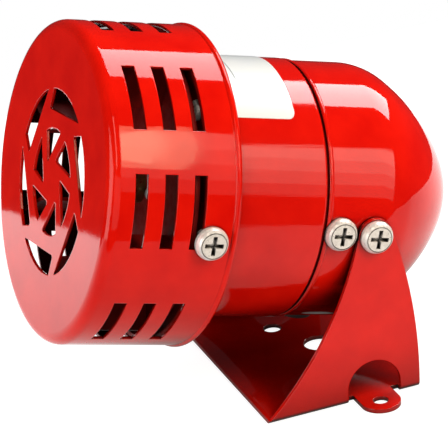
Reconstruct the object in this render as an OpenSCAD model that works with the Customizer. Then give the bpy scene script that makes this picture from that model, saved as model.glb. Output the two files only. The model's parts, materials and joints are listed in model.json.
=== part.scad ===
// Motor siren: slotted drum cover, motor sleeve and dome, hung in a U bracket.
// Row frame: +Z up, the bracket's underside on z = 0, the drum's face towards -Y,
// the origin midway between the two foot holes.
// Head frame: the siren's axis along +Y from the drum's face, X right, Z up.

/* [Pose] */
// Nose-up angle of the siren on its bracket, degrees
nose_up = 14.6; // [0:0.1:60]

/* [Drum cover] */
// Outer diameter of the drum cover
drum_d = 85; // [84.6:0.1:86]
// Depth of the drum cover, face to rear rim
drum_l = 35.8; // [35.2:0.1:38]
// Bead rolled round the drum's rear rim: section radius, height above the drum
drum_bead = [0.9, 0.5];
// Fillet between the face and the side
drum_fillet = 3; // [1.5:0.1:5]
// Sheet thickness of the drum cover and the dome
shell_t = 0.8; // [0.6:0.05:1]

/* [Sound ports] */
// Rows of ports along the drum
port_rows = 3; // [2:1:3]
// Distance from the face to the first row
port_first = 6.9; // [6:0.1:7]
// Port width along the axis
port_w = 3.45; // [2.5:0.05:4]
// Spacing of the rows
port_pitch = 8; // [6:0.1:8]
// Half of the angle that one port spans, degrees
port_half = 12.9; // [8:0.1:14]
// Centre angles of the port groups in the first quarter, degrees from +X towards +Z
port_groups = [10.2, 51.4];

/* [Intake grille] */
// Number of outer and of inner openings
grille_n = 6; // [6:1:6]
// Radius of the ring of outer openings
grille_r = 24.4; // [23.5:0.1:25]
// Radius of the ring of inner openings
grille_inner_r = 14.1; // [13.5:0.1:14.5]
// Corner radius of the openings
grille_corner = 0.7; // [0.3:0.1:0.9]

/* [Motor sleeve] */
// Outer diameter of the sleeve
sleeve_d = 69.6; // [69:0.1:70]
// Sheet thickness of the sleeve
sleeve_t = 1; // [0.8:0.1:1.2]
// Axial position of the sleeve's front face
sleeve_a = 33; // [32.6:0.1:33.4]
// Axial position of the sleeve's rear edge
seam_a = 63.4; // [62:0.1:64]

/* [Dome] */
// Outer diameter of the dome's straight skirt
dome_d = 68.6; // [68:0.1:69]
// Axial position where the skirt starts to curve
dome_a = 80; // [79:0.1:82]
// Radius of the shoulder arc
shoulder_r = 18.3; // [16:0.1:20]
// Turn of the shoulder arc, degrees
shoulder_turn = 30.6; // [26:0.1:34]
// Radius of the flank arc
flank_r = 55; // [48:0.5:60]
// Turn of the shoulder and flank arcs together, degrees
flank_turn = 60.4; // [56:0.1:64]

/* [Bracket] */
// Sheet thickness of the bracket
bracket_t = 1.2; // [1:0.1:1.2]
// Half of the width over the arms
bracket_half = 35.8; // [35.8:0.1:37]
// Height of the pivot over the underside
pivot_h = 47; // [46:0.5:52]
// Pivot's distance behind the foot holes
pivot_y = 3.1; // [2:0.1:4]
// Pivot's axial position on the siren
pivot_a = 78; // [77:0.1:79]
// Base plate's reach in front of the pivot
base_front = 33.6; // [30:0.1:36]
// Rounding of an arm's top
arm_top_r = 4.8; // [4.6:0.1:5]
// Radius of an arm's hollow front edge
arm_front_r = 97; // [90:1:120]
// Greatest reach of an arm behind the pivot, and the height where it is reached
arm_rear = [10.2, 9];
// Half width and height of the arch window in each arm
window = [7.6, 11.3];
// Foot tab: width, reach of its end's centre beyond the arm, hole diameter
tab = [10.8, 3.6, 4.2];
// Large hole in the base plate: y and diameter
base_hole = [-0.9, 9];
// Small hole in the base plate: x, y and diameter
side_hole = [-15.1, -8.9, 5.1];

/* [Fasteners] */
// Head diameter of the pan-head screws
pan_d = 8.8; // [8:0.1:9]
// Head height of the pan-head screws
pan_h = 2.6; // [2:0.1:3]
// Shank diameter of the pan-head screws
screw_d = 4; // [3.5:0.1:4]
// Axial position of the drum screws
drum_screw_a = 28.6; // [28:0.1:29]
// Number of drum screws
drum_screw_n = 2; // [2:2:4]
// Axial position of the dome screws
dome_screw_a = 68.3; // [68:0.1:68.3]

/* [Motor] */
// Outer diameter of the motor can
can_d = 51; // [50:0.5:51]
// Axial position of the can's rear edge
can_end_a = 68; // [67:0.1:68]
// Shaft diameter
shaft_d = 5; // [4:0.1:5]
// Armature diameter
armature_d = 37.8; // [36:0.1:37.8]
// Slots in the armature
armature_slots = 10; // [8:1:12]
// Outer diameter of the impeller
impeller_d = 78; // [70:0.5:78]
// Blades on the impeller
blades = 8; // [8:1:8]
// Axial position of the impeller disc's front face
impeller_a = 24.7; // [24.3:0.1:24.8]

/* [Hidden] */
$fn = 96;
fit = 0.02;          // clearance of a screw in its thread, and of slip fits
run = 0.04;          // radial running clearance of the shaft and the pivots
lap = 0.005;         // how far a rounding reaches past the edge that it blends into
drum_r = drum_d / 2;
drum_bore = drum_r - shell_t;
sleeve_r = sleeve_d / 2;
sleeve_bore = sleeve_r - sleeve_t;
dome_r = dome_d / 2;
dome_bore = dome_r - shell_t;
screw_r = screw_d / 2;
shaft_r = shaft_d / 2;
can_r = can_d / 2;
can_t = 1.5;
plate_t = 1.2;
plate_a = sleeve_a - plate_t;
flange_front_a = 26.6;
bead_r = 0.7;
rim_a = seam_a + 0.7;
bead_a = rim_a + 0.6;
nose_r = (dome_r - shoulder_r * (1 - cos(shoulder_turn))
    - flank_r * (cos(shoulder_turn) - cos(flank_turn))) / cos(flank_turn);
impeller_t = 1;
blade_t = 1;
blade_r = 24;
blade_front_a = 6;
blade_angle = 30.8;
hub_front_a = 16;
hub_flange_t = 1.7;
boss_r = 8;
boss_front_a = 30;
bush_r = 6;
bush_l = 5;
front_bush_a = 30.2;
rear_bush_a = 71;
magnet_t = 4.4;
core_a = 40;
core_l = 20;
slot_r = 13.5;
cap_a = can_end_a;
cap_t = 3.5;
boss_end_a = 77;
brush = [3, 7, 3];
brush_a = 65;
brush_r = 6.8;
ring_front_a = 56;
ring_rear_a = 70.9;
ring_bore = 32.2;
grommet_a = 75.9;
grommet_neck = 4;
grommet_bore = 2.75;
label_a = [37.5, 56];
label_half = 39.7;
label_t = 0.12;
block = [20, 9, 9];
lead_x = 8;
block_z = 12;
terminal_x = 14;
sleeve_screw_r = 30;
motor_screw_r = 16;
tab_x = bracket_half + tab[1];

// ---- placing ----

// Puts a shape made in the head frame where the tilted siren is.
module head() {
    translate([0, pivot_y, pivot_h]) rotate([-nose_up, 0, 0]) translate([0, -pivot_a, 0]) children();
}

// Revolves a profile of (radius, axial position) about the siren's axis.
module turned(angle = 360) {
    rotate([-90, 0, 0]) rotate_extrude(angle = angle) children();
}

// A tube between two axial positions.
module tube(r_out, r_in, a0, a1) {
    turned() translate([r_in, a0]) square([r_out - r_in, a1 - a0]);
}

module rod(r, a0, a1) {
    translate([0, a0, 0]) rotate([-90, 0, 0]) cylinder(h = a1 - a0, r = r);
}

// Turns a shape about the siren's axis, from +X towards +Z.
module at_angle(angle) {
    rotate([0, -angle, 0]) children();
}

// Copies a shape n times about the siren's axis.
module around(n, first = 0) {
    for (k = [0 : n - 1]) at_angle(first + k * 360 / n) children();
}

// Places a shape made along +Z so that it points outwards from the axis at radius r.
module outward(angle, r, a) {
    at_angle(angle) translate([r, a, 0]) rotate([0, 90, 0]) children();
}

// Places a shape made along +Z so that it points to the front, at radius r.
module forward(angle, r, a) {
    at_angle(angle) translate([r, a, 0]) rotate([90, 0, 0]) children();
}

// ---- shared shapes ----

function unit(v) = v / norm(v);

// Corner i of a convex outline rounded by radius r: the two tangent points and the centre.
function corner(pts, i, r) =
    let (n = len(pts), p = pts[i],
         u = unit(pts[(i + n - 1) % n] - p), v = unit(pts[(i + 1) % n] - p),
         half = acos(u * v) / 2)
    [p + u * r / tan(half), p + v * r / tan(half), p + unit(u + v) * r / sin(half)];

module rounded(pts, r) {
    corners = [for (i = [0 : len(pts) - 1]) corner(pts, i, r)];
    polygon([for (c = corners, k = [0, 1]) c[k]]);
    for (c = corners) translate(c[2]) circle(r + lap);
}

// Half section of a deep-drawn can: face at a = 0, side at r, filleted.
module can_section(r, l, fillet) {
    square([r - fillet, l]);
    translate([0, fillet]) square([r, l - fillet]);
    translate([r - fillet, fillet]) circle(fillet);
}

// Pan-head screw along +Z with the head's underside on z = 0.
module pan_screw(d, h, shank_d, shank_l, recess = 0.58) {
    difference() {
        rotate_extrude() polygon([
            [0, 0], [d / 2, 0], [d / 2, h * 0.45], [d / 2 - h * 0.14, h * 0.78],
            [d / 2 - h * 0.34, h], [0, h]
        ]);
        for (turn = [0, 90]) rotate(turn)
            translate([-d * recess / 2, -d * 0.065, h * 0.42]) cube([d * recess, d * 0.13, h]);
        translate([0, 0, h * 0.3]) cylinder(h = h, r = d * 0.1);
        rotate_extrude() translate([d * 0.375, h * 0.93]) square([d * 0.03, h]);
    }
    translate([0, 0, -shank_l]) cylinder(h = shank_l + 0.1, d = shank_d);
}

module hex_nut(flats, h, bore_r) {
    difference() {
        cylinder(h = h, r = flats / sqrt(3), $fn = 6);
        translate([0, 0, -1]) cylinder(h = h + 2, r = bore_r);
    }
}

// ---- bracket ----

// Side outline of the bracket about the pivot: u backwards, v upwards.
module bracket_side() {
    toe = [-base_front, -pivot_h + bracket_t / 2];
    reach = norm(toe);
    along = (pow(arm_front_r + arm_top_r, 2) - pow(arm_front_r, 2) + reach * reach) / (2 * reach);
    across = sqrt(pow(arm_front_r + arm_top_r, 2) - along * along);
    dir = toe / reach;
    front_centre = along * dir + across * [dir[1], -dir[0]];
    bulge = [arm_rear[0], arm_rear[1] - pivot_h];
    rear_r = (bulge * bulge - arm_top_r * arm_top_r) / (2 * (bulge[0] - arm_top_r));
    circle(arm_top_r);
    intersection() {
        translate([bulge[0] - rear_r, bulge[1]]) circle(rear_r, $fn = 360);
        difference() {
            translate([-base_front, -pivot_h]) square([base_front + 20, pivot_h]);
            difference() {
                translate(front_centre) circle(arm_front_r, $fn = 360);
                translate([-base_front - 1, -pivot_h - 1]) square([base_front + 30, bracket_t + 1]);
            }
        }
    }
}

// Cross-section of a U channel of half width w standing on z = low.
module channel(w, low, r) {
    translate([-w, low + r]) square([2 * w, pivot_h + 20]);
    translate([-w + r, low]) square([2 * (w - r), r + 1]);
    for (side = [-1, 1]) translate([side * (w - r), low + r]) circle(r);
}

module folded_sheet() {
    bend_r = 0.6;
    intersection() {
        translate([0, 100, 0]) rotate([90, 0, 0]) linear_extrude(200) difference() {
            channel(bracket_half, 0, bend_r + bracket_t);
            channel(bracket_half - bracket_t, bracket_t, bend_r);
        }
        translate([-50, pivot_y, pivot_h]) rotate([90, 0, 90]) linear_extrude(100) bracket_side();
    }
}

module arch_window() {
    translate([0, window[1] - window[0]]) circle(window[0]);
    translate([-window[0], -1]) square([2 * window[0], window[1] - window[0] + 1]);
}

module foot_tab() {
    translate([bracket_half - 3, -tab[0] / 2, 0]) cube([tab[1] + 3, tab[0], bracket_t]);
    translate([tab_x, 0, 0]) cylinder(h = bracket_t, d = tab[0]);
}

module bracket() {
    color("firebrick") difference() {
        union() {
            difference() {
                folded_sheet();
                for (side = [0, 1]) mirror([side, 0, 0])
                    translate([bracket_half - 2.4, 0, 0]) rotate([90, 0, 90])
                        linear_extrude(5) arch_window();
            }
            for (side = [0, 1]) mirror([side, 0, 0]) foot_tab();
        }
        for (side = [-1, 1]) translate([side * tab_x, 0, -1]) cylinder(h = 5, d = tab[2]);
        translate([0, base_hole[0], -1]) cylinder(h = 5, d = base_hole[1]);
        translate([side_hole[0], side_hole[1], -1]) cylinder(h = 5, d = side_hole[2]);
        translate([-50, pivot_y, pivot_h]) rotate([0, 90, 0]) cylinder(h = 100, r = screw_r + run);
    }
}

module pivot_screws() {
    color("silver") head() for (angle = [0, 180])
        outward(angle, bracket_half + 0.05, pivot_a)
            pan_screw(pan_d, pan_h, screw_d, bracket_half - dome_bore + 4.6);
}

// Weld nuts whose seats follow the inside of the dome's skirt.
module pivot_nuts() {
    color("silver") head() intersection() {
        for (angle = [0, 180])
            outward(angle, dome_bore - 4, pivot_a) hex_nut(7, 5, screw_r + fit);
        turned() dome_section(shell_t + fit, seam_a);
    }
}

// ---- drum ----

module port_cutter() {
    at_angle(-port_half) rotate([180, 0, 0]) rotate([-90, 0, 0]) rotate_extrude(angle = 2 * port_half)
        translate([drum_r - 3, 0]) square([5, port_w]);
}

module ports() {
    for (quarter = [0 : 3], group = port_groups, row = [0 : port_rows - 1])
        at_angle(90 * quarter + group)
            translate([0, port_first + row * port_pitch + port_w, 0]) port_cutter();
}

module grille_cut() {
    for (k = [0 : grille_n - 1]) rotate(360 / grille_n * k) {
        intersection() {
            circle(grille_r);
            rounded([[-8.7, 17.3], [12.9, 20.6], [14, 23], [14, 30], [-6.6, 30]], grille_corner);
        }
        intersection() {
            circle(grille_inner_r);
            rounded([[-4.9, 3.3], [2.1, 14.9], [-8.9, 12.2]], grille_corner);
        }
    }
}

module drum_cover() {
    color("red") head() difference() {
        turned() difference() {
            union() {
                can_section(drum_r, drum_l, drum_fillet);
                translate([drum_r + drum_bead[1] - drum_bead[0], drum_l + lap - drum_bead[0]])
                    circle(r = drum_bead[0]);
            }
            translate([-1, shell_t]) square([2, drum_l]);
            translate([0, shell_t]) can_section(drum_bore, drum_l, drum_fillet - shell_t);
        }
        translate([0, 3, 0]) rotate([90, 0, 0]) linear_extrude(5) grille_cut();
        ports();
        for (k = [0 : drum_screw_n - 1]) outward(k * 360 / drum_screw_n, drum_r - 3, drum_screw_a)
            cylinder(h = 6, r = screw_r + 0.2);
    }
}

module drum_screws() {
    color("silver") head() for (k = [0 : drum_screw_n - 1])
        outward(k * 360 / drum_screw_n, drum_r, drum_screw_a) pan_screw(pan_d, pan_h, screw_d, 5);
}

module mounting_plate() {
    rim = drum_bore - fit;
    color("gray") head() difference() {
        turned() difference() {
            square([rim, sleeve_a]);
            translate([-1, -1]) square([rim + 2, flange_front_a + 1]);
            translate([-1, flange_front_a]) square([rim + 1 - plate_t, plate_a - flange_front_a]);
            translate([-1, plate_a - 1]) square([boss_r + 1 + fit, 5]);
        }
        for (k = [0 : drum_screw_n - 1]) outward(k * 360 / drum_screw_n, rim - 3, drum_screw_a)
            cylinder(h = 6, r = screw_r + fit);
        for (k = [0 : 2]) forward(60 + 120 * k, sleeve_screw_r, sleeve_a + 1)
            cylinder(h = 4, r = 1.6);
        for (k = [0, 1]) forward(90 + 180 * k, motor_screw_r, sleeve_a + 1)
            cylinder(h = 4, r = screw_r + 0.1);
    }
}

// ---- sleeve and dome ----

module motor_sleeve() {
    round_r = 0.6;
    color("red") head() difference() {
        turned() difference() {
            union() {
                translate([26.3, sleeve_a]) square([sleeve_r - 26.3, seam_a - sleeve_a - round_r]);
                translate([26.3, sleeve_a]) square([sleeve_r - round_r - 26.3, seam_a - sleeve_a]);
                translate([sleeve_r - round_r, seam_a - round_r]) circle(round_r);
            }
            translate([26, sleeve_a + sleeve_t]) square([sleeve_bore - 26, 60]);
        }
        for (k = [0 : 2]) forward(60 + 120 * k, sleeve_screw_r, sleeve_a + 2)
            cylinder(h = 4, r = 1.6);
    }
}

module sleeve_screws() {
    color("silver") head() for (k = [0 : 2])
        forward(60 + 120 * k, sleeve_screw_r, plate_a) pan_screw(5.6, 2, 3, 7);
}

module sleeve_nuts() {
    color("silver") head() for (k = [0 : 2])
        forward(60 + 120 * k, sleeve_screw_r, sleeve_a + sleeve_t + 2.4) hex_nut(5.5, 2.4, 1.5 + fit);
}

module rating_label() {
    corner_r = 2;
    x = sleeve_r * sin(label_half);
    color("white") head() intersection() {
        turned() translate([sleeve_r, label_a[0]]) square([label_t, label_a[1] - label_a[0]]);
        linear_extrude(60) rounded([
            [-x, label_a[0]], [x, label_a[0]], [x, label_a[1]], [-x, label_a[1]]
        ], corner_r);
    }
}

module joining_ring() {
    color("gray") head() difference() {
        union() {
            tube(sleeve_bore - fit, ring_bore, ring_front_a, seam_a);
            tube(dome_bore - fit, ring_bore, seam_a - 1, ring_rear_a);
        }
        for (angle = [0, 180]) outward(angle, ring_bore - 2, dome_screw_a)
            cylinder(h = 6, r = screw_r + fit);
    }
}

// Half section of the dome, moved inwards by the amount given, from axial position low.
module dome_section(inset, low) {
    s = shoulder_turn;
    f = flank_turn;
    shoulder_c = [dome_r - shoulder_r, dome_a];
    flank_c = shoulder_c - (flank_r - shoulder_r) * [cos(s), sin(s)];
    nose_c = [0, flank_c[1] + (flank_r - nose_r) * sin(f)];
    intersection() {
        translate([0, low]) square([dome_d, dome_d]);
        union() {
            translate([0, low]) square([dome_r - inset, dome_a - low]);
            translate(shoulder_c) circle(shoulder_r - inset);
            intersection() {
                translate(flank_c) circle(flank_r - inset - lap);
                polygon([
                    flank_c, flank_c + 80 * [cos(s), sin(s)], flank_c + 80 * [cos(f), sin(f)]
                ]);
            }
            translate(nose_c) circle(nose_r - inset + lap);
        }
    }
}

module dome_cover() {
    color("red") head() difference() {
        turned() difference() {
            union() {
                dome_section(0, rim_a);
                translate([dome_r + 0.45 - bead_r, bead_a]) circle(bead_r);
            }
            dome_section(shell_t, seam_a);
            translate([0, seam_a - 1]) square([dome_d, rim_a - seam_a + 1]);
        }
        for (angle = [0, 180]) {
            outward(angle, dome_r - 3, dome_screw_a) cylinder(h = 6, r = screw_r + 0.2);
            outward(angle, dome_r + fit, dome_screw_a) cylinder(h = 3, r = pan_d / 2 + 0.2);
            outward(angle, dome_r - 3, pivot_a) cylinder(h = 6, r = screw_r + 0.1);
        }
        outward(270, dome_r - 3, grommet_a) cylinder(h = 6, r = grommet_neck);
    }
}

module dome_screws() {
    color("silver") head() for (angle = [0, 180])
        outward(angle, dome_r, dome_screw_a) pan_screw(pan_d, pan_h, screw_d, 5.5);
}

module cable_grommet() {
    flange_r = 4.9;
    color("black") head() difference() {
        outward(270, dome_bore - 1.8, grommet_a) rotate_extrude() {
            square([flange_r - 0.6, shell_t + 3.8]);
            translate([0, 0.6]) square([flange_r, shell_t + 2.4]);
            for (z = [0.6, shell_t + 3.2]) translate([flange_r - 0.6, z]) circle(0.6);
        }
        difference() {
            tube(dome_r + fit, dome_bore - fit, grommet_a - 8, grommet_a + 8);
            outward(270, 0, grommet_a) cylinder(h = 60, r = grommet_neck - fit);
        }
        outward(270, 0, grommet_a) cylinder(h = 60, r = grommet_bore);
    }
}

// ---- motor, fixed pieces ----

module motor_can() {
    color("dimgray") head() difference() {
        union() {
            tube(can_r, can_r - can_t, sleeve_a, can_end_a);
            rod(can_r, sleeve_a, sleeve_a + can_t);
            rod(boss_r, boss_front_a, sleeve_a + 2.5);
        }
        rod(bush_r + fit, boss_front_a - 1, sleeve_a + 5);
        for (k = [0, 1]) forward(90 + 180 * k, motor_screw_r, sleeve_a + 3)
            cylinder(h = 6, r = screw_r + fit);
    }
}

module field_magnets() {
    span = 65;
    r_out = can_r - can_t - fit;
    color("darkslategray") head() intersection() {
        tube(r_out, r_out - magnet_t, core_a - 1, core_a + core_l + 1);
        for (side = [0, 180]) at_angle(side) rotate([90, 0, 0]) translate([0, 0, -100])
            linear_extrude(100) polygon([
                [0, 0], [40 * cos(span), -40 * sin(span)], [60, 0], [40 * cos(span), 40 * sin(span)]
            ]);
    }
}

module motor_screws() {
    color("silver") head() for (k = [0, 1])
        forward(90 + 180 * k, motor_screw_r, plate_a) pan_screw(7, 2.2, screw_d, 4);
}

module shaft_bearings() {
    color("peru") head() for (a = [front_bush_a, rear_bush_a])
        tube(bush_r, shaft_r + run, a, a + bush_l);
}

module brush_channel(side) {
    at_angle(side) translate([7, brush_a - 0.05, -brush[2] / 2 - 0.05])
        cube([13, brush[0] + 0.1, brush[2] + 0.1]);
}

module motor_end_cap() {
    color("ivory") head() difference() {
        union() {
            rod(can_r - can_t - fit, 63.8, cap_a + 0.5);
            rod(can_r, cap_a, cap_a + cap_t);
            rod(9, cap_a, boss_end_a);
        }
        rod(7.4, 60, 69.6);
        rod(shaft_r + 0.8, 60, rear_bush_a + 1);
        rod(bush_r + fit, rear_bush_a, rear_bush_a + bush_l);
        for (side = [0, 180]) brush_channel(side);
    }
}

module carbon_brushes() {
    color("black") head() for (side = [0, 180]) at_angle(side)
        translate([brush_r, brush_a, -brush[2] / 2]) cube([brush[1], brush[0], brush[2]]);
}

// Coil springs behind the brushes, drawn as stacks of close turns.
module brush_springs() {
    turns = 6;
    wire = 0.4;
    pitch = (19.9 - brush_r - brush[1]) / turns;
    color("silver") head() for (side = [0, 180])
        at_angle(side) translate([brush_r + brush[1], brush_a + brush[0] / 2, 0]) rotate([0, 90, 0]) {
            for (k = [0 : turns - 1]) translate([0, 0, pitch * (k + 0.5)])
                rotate_extrude() translate([0.9, 0]) circle(wire);
            translate([0.9, 0, 0]) cylinder(h = pitch * turns, r = wire * 0.8);
        }
}

module motor_terminals() {
    color("gold") head() for (side = [-1, 1])
        translate([side * terminal_x - 0.4, cap_a + cap_t, 1]) cube([0.8, 7, 6]);
}

module terminal_block() {
    a0 = cap_a + cap_t;
    color("white") head() difference() {
        translate([-block[0] / 2, a0, block_z]) cube(block);
        for (x = [-4.5, 4.5]) {
            translate([x, a0 + block[1] - 3, block_z + 4.5]) rotate([-90, 0, 0])
                cylinder(h = 4, r = 2.3);
            translate([x, a0 + block[1] - 8, block_z + 4.5]) rotate([-90, 0, 0])
                cylinder(h = 6, r = 1.25 + fit);
        }
        for (x = [-lead_x, lead_x]) translate([x, a0 + 4.5, block_z - 1]) cylinder(h = 4, r = 1);
    }
}

module terminal_screws() {
    a = cap_a + cap_t + block[1] - 3;
    color("silver") head() for (x = [-4.5, 4.5])
        translate([x, a, block_z + 4.5]) rotate([-90, 0, 0]) pan_screw(4.2, 1.5, 2.5, 4);
}

// Leads from the terminal block down and out to the motor's tabs.
module lead_wires() {
    bend = 4;
    wire = 0.95;
    drop = block_z + 2;
    a = cap_a + cap_t + 4.5;
    color("crimson") head() for (side = [0, 1]) mirror([side, 0, 0]) translate([0, a, 0]) {
        translate([lead_x, 0, 8]) cylinder(h = drop - 8, r = wire);
        translate([lead_x + bend, 0, 8]) rotate([90, 0, 0]) rotate([0, 0, 180])
            rotate_extrude(angle = 90) translate([bend, 0]) circle(wire);
        translate([lead_x + bend, 0, 4]) rotate([0, 90, 0])
            cylinder(h = terminal_x - 0.42 - lead_x - bend, r = wire);
    }
}

// ---- rotor ----

module motor_shaft() {
    color("silver") head() {
        rod(shaft_r - 0.3, 11, 11.5);
        rod(shaft_r, 11.4, rear_bush_a + bush_l - 0.3);
    }
}

module armature_core() {
    color("slategray") head() difference() {
        tube(armature_d / 2, shaft_r + 0.01, core_a, core_a + core_l);
        around(armature_slots) {
            translate([slot_r, core_a - 1, 0]) rotate([-90, 0, 0]) cylinder(h = core_l + 2, r = 2.4);
            translate([slot_r, core_a - 1, -0.8]) cube([10, core_l + 2, 1.6]);
        }
    }
}

module armature_windings() {
    overhang = 3.4;
    color("chocolate") head() {
        for (a = [core_a - overhang, core_a + core_l + 0.1])
            tube(slot_r + 2.3, shaft_r + 1.6, a, a + overhang - 0.1);
        around(armature_slots) translate([slot_r, core_a - 1, 0]) rotate([-90, 0, 0])
            cylinder(h = core_l + 2, r = 2.2);
    }
}

module commutator() {
    color("darkgoldenrod") head() difference() {
        tube(6.5, shaft_r + 0.01, 64, 69);
        around(armature_slots, 18) translate([6.1, 63, -0.2]) cube([1, 7, 0.4]);
    }
}

module impeller() {
    r = impeller_d / 2;
    rear = impeller_a + impeller_t;
    color("dimgray") head() {
        difference() {
            rod(r, impeller_a, rear);
            rod(5 + fit, impeller_a - 1, rear + 1);
            for (k = [0 : 2]) forward(120 * k, 7.2, rear + 1) cylinder(h = 4, r = 1.02);
        }
        intersection() {
            around(blades, blade_angle)
                translate([blade_r, blade_front_a, -blade_t / 2])
                    cube([r, impeller_a - blade_front_a + 0.2, blade_t]);
            rod(r, 0, rear);
        }
    }
}

module impeller_hub() {
    rear = impeller_a + impeller_t;
    color("goldenrod") head() difference() {
        union() {
            rod(5, hub_front_a, rear + hub_flange_t);
            rod(9, rear, rear + hub_flange_t);
        }
        rod(shaft_r + 0.01, 0, 60);
        for (k = [0 : 2]) forward(120 * k, 7.2, rear + 4) cylinder(h = 6, r = 1.02);
    }
}

module impeller_rivets() {
    rear = impeller_a + impeller_t + hub_flange_t;
    color("silver") head() for (k = [0 : 2]) forward(120 * k, 7.2, rear) {
        translate([0, 0, -0.3]) cylinder(h = hub_flange_t + impeller_t + 0.3, r = 1);
        translate([0, 0, hub_flange_t + impeller_t]) rotate_extrude() intersection() {
            square([1.7, 0.9]);
            translate([0, -1.16]) circle(2.06);
        }
        translate([0, 0, -0.5]) cylinder(h = 0.5, r = 1.6);
    }
}

module impeller_nut() {
    color("silver") head() translate([0, hub_front_a, 0]) rotate([90, 0, 0])
        hex_nut(8, 3.6, shaft_r + fit);
}

// ---- output ----

bracket();
pivot_screws();
pivot_nuts();
drum_cover();
drum_screws();
mounting_plate();
sleeve_screws();
sleeve_nuts();
motor_sleeve();
rating_label();
joining_ring();
dome_cover();
dome_screws();
cable_grommet();
motor_can();
field_magnets();
motor_screws();
shaft_bearings();
motor_end_cap();
carbon_brushes();
brush_springs();
motor_terminals();
terminal_block();
terminal_screws();
lead_wires();
motor_shaft();
armature_core();
armature_windings();
commutator();
impeller();
impeller_hub();
impeller_rivets();
impeller_nut();
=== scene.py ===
import json
import math

import bpy
from mathutils import Matrix, Quaternion, Vector

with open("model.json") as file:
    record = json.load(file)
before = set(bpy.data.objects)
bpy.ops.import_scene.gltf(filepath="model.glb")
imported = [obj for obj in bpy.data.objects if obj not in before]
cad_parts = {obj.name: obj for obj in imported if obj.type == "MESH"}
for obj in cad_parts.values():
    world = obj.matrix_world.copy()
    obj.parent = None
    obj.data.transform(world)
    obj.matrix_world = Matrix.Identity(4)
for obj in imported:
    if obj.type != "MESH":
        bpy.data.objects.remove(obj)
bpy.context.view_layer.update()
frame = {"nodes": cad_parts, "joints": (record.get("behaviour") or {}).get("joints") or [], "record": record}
NODES = frame["nodes"]
JOINTS = {joint["name"]: joint for joint in frame["joints"]}

# The siren's axis passes through the pivot and rises towards the drum.
PIVOT = Vector(JOINTS["head_tilt"]["pos_m"])
DRUM_WAY = Vector(JOINTS["rotor_spin"]["axis"])
NOSE_UP = math.atan2(DRUM_WAY.z, -DRUM_WAY.y)
PIVOT_ALONG = 0.078  # from the drum's face to the pivot, along the siren's axis

# How far the painted shade reaches where surfaces shut each other in, metres.
CREVICE = 0.0014  # the painted shade line where two painted pieces meet
RECESS = 0.0013  # the painted shade in a screw's cross recess
CAVITY = 0.035  # the painted shade inside the drum and under the head
INSIDE = 0.03  # the same on bare metal

EDGE_RADIUS = 0.0004  # painted edges look rounded by this much
SAMPLES = 12  # rays of each shading lookup
WHITE = (1.0, 1.0, 1.0)
WARM = (1.0, 0.84, 0.7)


# ---- node helpers ----

# Sockets of a Mix node that is set to colours.
MIX_FIRST, MIX_SECOND, MIX_RESULT = 6, 7, 2


def new_material(name):
    material = bpy.data.materials.new(name)
    material.use_nodes = True
    tree = material.node_tree
    return material, tree, tree.nodes["Principled BSDF"]


def add(tree, kind, **values):
    """A node with its settings and the values of its sockets."""
    node = tree.nodes.new(kind)
    for key, value in values.items():
        if hasattr(node, key):
            setattr(node, key, value)
        else:
            node.inputs[key.replace("_", " ")].default_value = value
    return node


def put(node, **values):
    """Set sockets of a node to plain values."""
    for key, value in values.items():
        node.inputs[key.replace("_", " ")].default_value = value


def connect(tree, value, socket):
    """Link an output to a socket, or set the socket to a plain value."""
    if isinstance(value, bpy.types.NodeSocket):
        tree.links.new(value, socket)
    else:
        socket.default_value = value


def maths(tree, operation, first, second=0.0):
    node = add(tree, "ShaderNodeMath", operation=operation)
    connect(tree, first, node.inputs[0])
    connect(tree, second, node.inputs[1])
    return node.outputs["Value"]


def mixed(tree, factor, first, second, blend="MIX"):
    """Mix of two colours, from the first to the second as the factor goes from 0 to 1."""
    node = add(tree, "ShaderNodeMix", data_type="RGBA", blend_type=blend)
    connect(tree, factor, node.inputs["Factor"])
    connect(tree, first, node.inputs[MIX_FIRST])
    connect(tree, second, node.inputs[MIX_SECOND])
    return node.outputs[MIX_RESULT]


def object_coords(tree):
    return tree.nodes.new("ShaderNodeTexCoord").outputs["Object"]


def head_coords(tree):
    """Object coordinates turned so that Y runs along the siren's axis from the drum's face."""
    mapping = add(tree, "ShaderNodeMapping", vector_type="POINT")
    pivot = Matrix.Rotation(NOSE_UP, 4, "X") @ PIVOT
    put(mapping, Location=(0, PIVOT_ALONG - pivot.y, -pivot.z), Rotation=(NOSE_UP, 0, 0))
    tree.links.new(object_coords(tree), mapping.inputs["Vector"])
    return mapping.outputs["Vector"]


def noise(tree, vector, scale, detail=2.0):
    """Soft random patches, about as many to the metre as the scale says."""
    node = add(tree, "ShaderNodeTexNoise", Scale=scale, Detail=detail, Roughness=0.5)
    tree.links.new(vector, node.inputs["Vector"])
    return node.outputs["Fac"]


def span(tree, value, low, high, to_low, to_high):
    """Carry the range from low to high over to the range from to_low to to_high."""
    node = add(tree, "ShaderNodeMapRange", clamp=True)
    put(node, From_Min=low, From_Max=high, To_Min=to_low, To_Max=to_high)
    tree.links.new(value, node.inputs["Value"])
    return node.outputs["Result"]


def bump(tree, height, strength, depth, under=None):
    node = add(tree, "ShaderNodeBump", Strength=strength, Distance=depth)
    tree.links.new(height, node.inputs["Height"])
    if under is not None:
        tree.links.new(under, node.inputs["Normal"])
    return node.outputs["Normal"]


# ---- parts of a finish ----


def mottled(tree, scale, detail, dark, pale, pale_from=0.7):
    """Two tones of a colour in soft patches."""
    node = tree.nodes.new("ShaderNodeValToRGB")
    for element, position, colour in zip(
        node.color_ramp.elements, (0.3, pale_from), (dark, pale)
    ):
        element.position = position
        element.color = (*colour, 1.0)
    tree.links.new(noise(tree, object_coords(tree), scale, detail), node.inputs["Fac"])
    return node.outputs["Color"]


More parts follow.
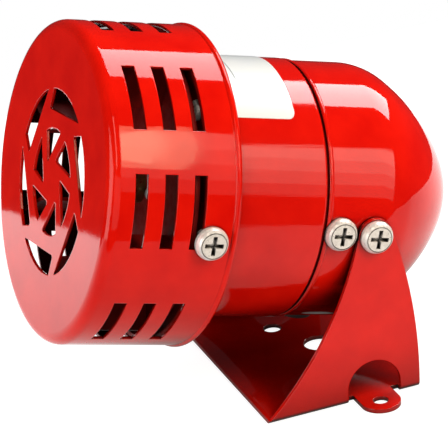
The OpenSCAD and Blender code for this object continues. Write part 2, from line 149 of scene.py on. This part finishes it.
def roughened(tree, shader, scale, smooth, dull, detail=2.0):
    """Uneven roughness between the two values."""
    patches = noise(tree, object_coords(tree), scale, detail)
    tree.links.new(span(tree, patches, 0.3, 0.7, smooth, dull), shader.inputs["Roughness"])


def grained(tree, shader, scale, strength, depth=0.0002):
    """A fine relief over the whole surface."""
    grain = noise(tree, object_coords(tree), scale)
    tree.links.new(bump(tree, grain, strength, depth), shader.inputs["Normal"])


def openness(tree, distance, low, high, darkest=0.0):
    """The mask of painted shade: 1 where the surface is open within the distance, falling to darkest where
    it is shut in.
    """
    lookup = add(tree, "ShaderNodeAmbientOcclusion", samples=SAMPLES, Distance=distance)
    return span(tree, lookup.outputs["AO"], low, high, darkest, 1.0)


def shaded(tree, colour, distance, low, high, darkest):
    """The colour with painted shade: darkened where the surface is shut in within the distance."""
    open_share = openness(tree, distance, low, high, darkest)
    return mixed(tree, 1.0, colour, open_share, blend="MULTIPLY")


# painted shade for metal parts shut in inside the drum
def shaded_metal(tree, colour):
    return shaded(tree, colour, INSIDE, 0.25, 0.85, 0.08)


def rolling_marks(tree):
    """Fine streaks along the siren's axis, left in the sheet by the rolls."""
    stretch = add(tree, "ShaderNodeMapping", vector_type="POINT", Scale=(1.0, 0.03, 1.0))
    tree.links.new(head_coords(tree), stretch.inputs["Vector"])
    return noise(tree, stretch.outputs["Vector"], 900, detail=3)


def orange_peel(tree, amount, rolled):
    """Normals of sprayed enamel: rounded edges, then marks in the sheet, a peel and a wave."""
    normal = add(tree, "ShaderNodeBevel", samples=6, Radius=EDGE_RADIUS).outputs["Normal"]
    if rolled:
        normal = bump(tree, rolling_marks(tree), rolled, 0.0002, under=normal)
    peel = noise(tree, object_coords(tree), 700, detail=1)
    wave = noise(tree, object_coords(tree), 60, detail=1)
    normal = bump(tree, peel, amount, 0.0001, under=normal)
    return bump(tree, wave, amount, 0.001, under=normal)


def thin_rule(tree):
    """1 on a short thin line across the label, and 0 elsewhere."""
    along_axis, half_width, end_x = 0.0425, 0.00016, 0.0114
    place = tree.nodes.new("ShaderNodeSeparateXYZ")
    tree.links.new(head_coords(tree), place.inputs["Vector"])
    offset = maths(tree, "ABSOLUTE", maths(tree, "SUBTRACT", place.outputs["Y"], along_axis))
    line = span(tree, offset, half_width - 0.00006, half_width + 0.00006, 1.0, 0.0)
    end = span(tree, place.outputs["X"], end_x - 0.0002, end_x + 0.0002, 0.8, 0.0)
    return maths(tree, "MULTIPLY", line, end)


# ---- materials ----


def red_paint(name, coat_roughness=0.04, peel=0.03, coat_ior=1.5, rolled=0.0):
    """Gloss enamel: orange peel, faint mottling, painted shade in hollows and corners, and a clear top coat.
    """
    material, tree, shader = new_material(name)
    colour = mottled(tree, 90, 3, dark=(0.66, 0.004, 0.001), pale=(0.78, 0.008, 0.002))
    # painted shade: darker inside the drum and under the head, and along the lines where pieces meet
    colour = shaded(tree, colour, CAVITY, 0.28, 0.8, 0.03)
    colour = shaded(tree, colour, CREVICE, 0.35, 0.75, 0.08)
    tree.links.new(colour, shader.inputs["Base Color"])
    roughened(tree, shader, 400, 0.3, 0.42, detail=4)
    normal = orange_peel(tree, peel, rolled)
    tree.links.new(normal, shader.inputs["Normal"])
    tree.links.new(normal, shader.inputs["Coat Normal"])
    put(shader, Specular_IOR_Level=0.0, Coat_Weight=1.0)
    put(shader, Coat_Roughness=coat_roughness, Coat_IOR=coat_ior)
    return material


def dark_paint(name, colour):
    """Dull primer or inner paint."""
    material, tree, shader = new_material(name)
    pale = tuple(c * 1.8 for c in colour)
    tree.links.new(mottled(tree, 160, 4, colour, pale, 0.75), shader.inputs["Base Color"])
    put(shader, Specular_IOR_Level=0.12)
    roughened(tree, shader, 500, 0.35, 0.6)
    grained(tree, shader, 900, 0.15, depth=0.0003)
    return material


def zinc(name, inside=False):
    """Bright zinc plate with a faint crystalline mottle and near-black painted shade in the recesses."""
    material, tree, shader = new_material(name)
    shade, tint, recess_shade = (0.768,) * 3, (0.96,) * 3, (0.012, 0.011, 0.01, 1)
    colour = mottled(tree, 900, 3, shade, tint, 0.65)
    # painted shade on parts that sit deep inside the drum
    if inside:
        colour = shaded_metal(tree, colour)
    # painted shade: near black where the screw's cross recess shuts the surface in
    unshaded_share = openness(tree, RECESS, 0.5, 0.9)
    tree.links.new(mixed(tree, unshaded_share, recess_shade, colour), shader.inputs["Base Color"])
    put(shader, Metallic=0.35)
    roughened(tree, shader, 1500, 0.26, 0.42)
    grained(tree, shader, 1800, 0.12)
    return material


def metal(name, colour, rough, grain):
    """Worked metal: fine scratches across a mottled surface, darkened by painted shade where it is shut in.
    """
    material, tree, shader = new_material(name)
    dark = tuple(c * 0.72 for c in colour)
    # painted shade where the metal sits shut in, deep in the drum
    tone = shaded_metal(tree, mottled(tree, grain, 5, dark, colour))
    tree.links.new(tone, shader.inputs["Base Color"])
    put(shader, Metallic=1.0)
    roughened(tree, shader, grain * 3, rough, rough + 0.18)
    grained(tree, shader, grain * 4, 0.2)
    return material


def moulded(name, colour, rough=0.45, grain=600):
    """Moulded plastic, rubber or pressed carbon with a fine surface texture."""
    material, tree, shader = new_material(name)
    pale = tuple(min(1.0, c * 1.25 + 0.01) for c in colour)
    tone = mottled(tree, grain / 5, 4, colour, pale, 0.75)
    tree.links.new(tone, shader.inputs["Base Color"])
    roughened(tree, shader, grain, rough, rough + 0.15)
    grained(tree, shader, grain * 2, 0.15)
    return material


def label_film(name):
    """White film, blank but for one thin rule."""
    material, tree, shader = new_material(name)
    ink = (0.12, 0.2, 0.24, 1)
    paper = mottled(tree, 120, 3, dark=(0.84, 0.92, 1.0), pale=(0.88, 0.95, 1.0))
    tree.links.new(mixed(tree, thin_rule(tree), paper, ink), shader.inputs["Base Color"])
    put(shader, Roughness=0.3, Coat_Weight=0.4, Coat_Roughness=0.12)
    grained(tree, shader, 150, 0.08, depth=0.0005)
    return material


# One finish for each material slot of the record.
MATERIALS = {
    "red_paint": red_paint("red_enamel"),
    "dark_steel": dark_paint("dark_primer", (0.22, 0.006, 0.004)),
    "rotor_paint": dark_paint("rotor_paint", (0.16, 0.006, 0.005)),
    "zinc": zinc("bright_zinc"),
    "label": label_film("label_film"),
    "black_rubber": moulded("black_rubber", (0.012, 0.012, 0.012), rough=0.6),
    "can_steel": metal("drawn_steel", (0.55, 0.55, 0.54), 0.28, 250),
    "ferrite": moulded("ferrite", (0.03, 0.03, 0.032), rough=0.7, grain=900),
    "lamination": metal("laminations", (0.28, 0.28, 0.29), 0.4, 500),
    "copper": metal("enamelled_copper", (0.62, 0.26, 0.12), 0.25, 400),
    "brass": metal("turned_brass", (0.72, 0.52, 0.22), 0.25, 300),
    "bronze": metal("sintered_bronze", (0.46, 0.29, 0.14), 0.45, 900),
    "carbon": moulded("pressed_carbon", (0.015, 0.015, 0.015), rough=0.65, grain=900),
    "bakelite": moulded("brown_thermoset", (0.07, 0.035, 0.02), rough=0.35),
    "nylon": moulded("natural_nylon", (0.72, 0.70, 0.63), rough=0.4),
    "red_wire": moulded("red_insulation", (0.4, 0.01, 0.01), rough=0.35),
}

# Nodes whose finish differs from the rest of their slot.
BY_NODE = {
    "drum_cover": red_paint("drum_enamel", coat_roughness=0.05, peel=0.04, coat_ior=1.35),
    "motor_sleeve": red_paint("sleeve_enamel", coat_roughness=0.07, rolled=0.12),
    "bracket": red_paint("bracket_enamel", coat_roughness=0.06, peel=0.05),
    "impeller_nut": zinc("nut_zinc", inside=True),
    "impeller_rivets": zinc("rivet_zinc", inside=True),
}


def dress_nodes():
    slots = {s["node"]: s["material_slot"] for s in frame["record"]["subparts"]}
    for name, obj in NODES.items():
        obj.data.materials.clear()
        obj.data.materials.append(BY_NODE.get(name) or MATERIALS[slots[name]])


# ---- floor ----


def sheet_paint():
    """White to the camera; as the siren reflects it, a sheet glowing with painted light, brightest on the
    left, with a painted shadow beneath the siren.
    """
    material, tree, shader = new_material("white_sheet")
    put(shader, Base_Color=(0.3, 0.3, 0.3, 1), Roughness=0.9, Specular_IOR_Level=0.0)
    put(shader, Emission_Color=(*WHITE, 1))
    across = tree.nodes.new("ShaderNodeSeparateXYZ")
    tree.links.new(object_coords(tree), across.inputs["Vector"])
    # painted light: the sheet's glow grows towards the left
    glow = span(tree, across.outputs["X"], -0.2, 0.06, 1.9, 0.3)
    # painted shadow: the glow fades close to the siren's foot
    reach = add(tree, "ShaderNodeVectorMath", operation="LENGTH")
    tree.links.new(object_coords(tree), reach.inputs[0])
    outside_painted_shadow = span(tree, reach.outputs["Value"], 0.03, 0.07, 0.08, 1.0)
    path = tree.nodes.new("ShaderNodeLightPath")
    strength = add(tree, "ShaderNodeMix", data_type="FLOAT", B=0.92)
    tree.links.new(path.outputs["Is Camera Ray"], strength.inputs["Factor"])
    tree.links.new(maths(tree, "MULTIPLY", glow, outside_painted_shadow), strength.inputs["A"])
    tree.links.new(strength.outputs["Result"], shader.inputs["Emission Strength"])
    return material


def make_floor():
    """A white sheet that ends on both sides of the siren and close behind it."""
    left, right, front, back, drop = -0.21, 0.19, -0.7, 0.2, 0.0002
    corners = [(left, front, 0), (right, front, 0), (right, back, 0), (left, back, 0)]
    mesh = bpy.data.meshes.new("floor")
    mesh.from_pydata(corners, [], [(0, 1, 2, 3)])
    mesh.materials.append(sheet_paint())
    floor = bpy.data.objects.new("floor", mesh)
    floor.location.z = -drop
    bpy.context.scene.collection.objects.link(floor)


# ---- lights ----

FAR, NEAR = 1.5, 0.5  # distances of the softboxes from the pivot
GLOW_LENGTH = 0.06  # of the small softboxes close to the drum


def head_direction(angle, along):
    """Unit direction at an angle about the siren's axis, with a share of it along the axis."""
    across = math.sqrt(1 - along * along)
    angle = math.radians(angle)
    local = Vector((across * math.cos(angle), along, across * math.sin(angle)))
    return Matrix.Rotation(-NOSE_UP, 3, "X") @ local


def room_direction(azimuth, elevation):
    """Unit direction from the siren; azimuth 0 is +X and -90 is in front of the drum."""
    azimuth, elevation = math.radians(azimuth), math.radians(elevation)
    flat = math.cos(elevation)
    return Vector((flat * math.cos(azimuth), flat * math.sin(azimuth), math.sin(elevation)))


def softbox(name, out, wide, long, radiance, colour=WHITE, distance=FAR, shift=0.0):
    """A rectangular light in direction out from the pivot; its long side follows the axis."""
    data = bpy.data.lights.new(name, "AREA")
    data.shape = "RECTANGLE"
    data.size, data.size_y = wide, long
    data.energy = radiance * math.pi * wide * long
    data.color = colour
    light = bpy.data.objects.new(name, data)
    light.visible_camera = False
    axis = head_direction(0, 0.9999)
    up = (axis - out * axis.dot(out)).normalized()
    turn = Matrix((up.cross(out), up, out)).transposed().to_4x4()
    light.matrix_world = Matrix.Translation(PIVOT + out * distance + up * shift) @ turn
    bpy.context.scene.collection.objects.link(light)


def seen_width(degrees, distance):
    """Width of a light that spans this many degrees as seen from the pivot."""
    return 2 * distance * math.tan(math.radians(degrees / 2))


def fading_box(name, angle, widths, radiance, colour):
    """Nested softboxes that share their upper edge, so that the light fades downwards."""
    for width in widths:
        out = head_direction(angle - width / 2, 0.45)
        softbox(f"{name}_{width}", out, seen_width(width, FAR), 1.0, radiance, colour)


def glowing_spot(name, angle, widths, shifts, radiance, colour):
    """Small nested softboxes close to the drum, brightest in the middle."""
    out = head_direction(angle, 0.42)
    for width in widths:
        for shift in shifts:
            wide = seen_width(width, NEAR)
            softbox(f"{name}_{width}", out, wide, GLOW_LENGTH, radiance, colour, NEAR, shift)


def make_lights():
    amber, cream = (1.0, 0.8, 0.5), (1.0, 0.93, 0.86)
    softbox("top_box", head_direction(113, 0.45), 0.7, 1.0, 9.0)
    fading_box("side_box", 55, (40, 30, 20, 10), 0.8, WARM)
    glowing_spot("drum_glow", 44.5, (28, 22, 16, 10), (-0.113, -0.128), 5.2, amber)
    softbox("key_strip", room_direction(-22, 50), 0.9, 0.25, 5.0, WARM)
    softbox("right_card", room_direction(-18, 10), 0.9, 1.4, 0.95, WARM)
    softbox("front_card", room_direction(-80, 12), 1.4, 0.9, 3.9, cream)


def make_world():
    """White to the camera, dim to everything the siren reflects."""
    world = bpy.data.worlds.new("studio")
    bpy.context.scene.world = world
    world.use_nodes = True
    tree = world.node_tree
    dim = tree.nodes["Background"]
    put(dim, Color=(0.9, 0.95, 1.0, 1), Strength=0.04)
    white = tree.nodes.new("ShaderNodeBackground")
    put(white, Color=(*WHITE, 1), Strength=1.0)
    path = tree.nodes.new("ShaderNodeLightPath")
    mix = tree.nodes.new("ShaderNodeMixShader")
    tree.links.new(path.outputs["Is Camera Ray"], mix.inputs["Fac"])
    tree.links.new(dim.outputs["Background"], mix.inputs[1])
    tree.links.new(white.outputs["Background"], mix.inputs[2])
    tree.links.new(mix.outputs["Shader"], tree.nodes["World Output"].inputs["Surface"])


# ---- camera ----


def make_camera():
    """A long lens at the siren's right, a little in front of it and above."""
    place = (0.7004, -0.2719, 0.3796)
    azimuth, downwards = math.radians(70.64), math.radians(24.37)
    roll, field = math.radians(-4.99), math.radians(8.44)
    flat = math.cos(downwards)
    ahead = Vector((-math.sin(azimuth) * flat, math.cos(azimuth) * flat, -math.sin(downwards)))
    data = bpy.data.cameras.new("camera")
    data.angle = field
    data.clip_start = 0.05
    camera = bpy.data.objects.new("camera", data)
    camera.location = place
    camera.rotation_mode = "QUATERNION"
    camera.rotation_quaternion = ahead.to_track_quat("-Z", "Y") @ Quaternion((0, 0, 1), roll)
    bpy.context.scene.collection.objects.link(camera)
    bpy.context.scene.camera = camera


def set_look():
    bpy.context.scene.view_settings.view_transform = "Standard"


dress_nodes()
make_floor()
make_lights()
make_world()
make_camera()
set_look()
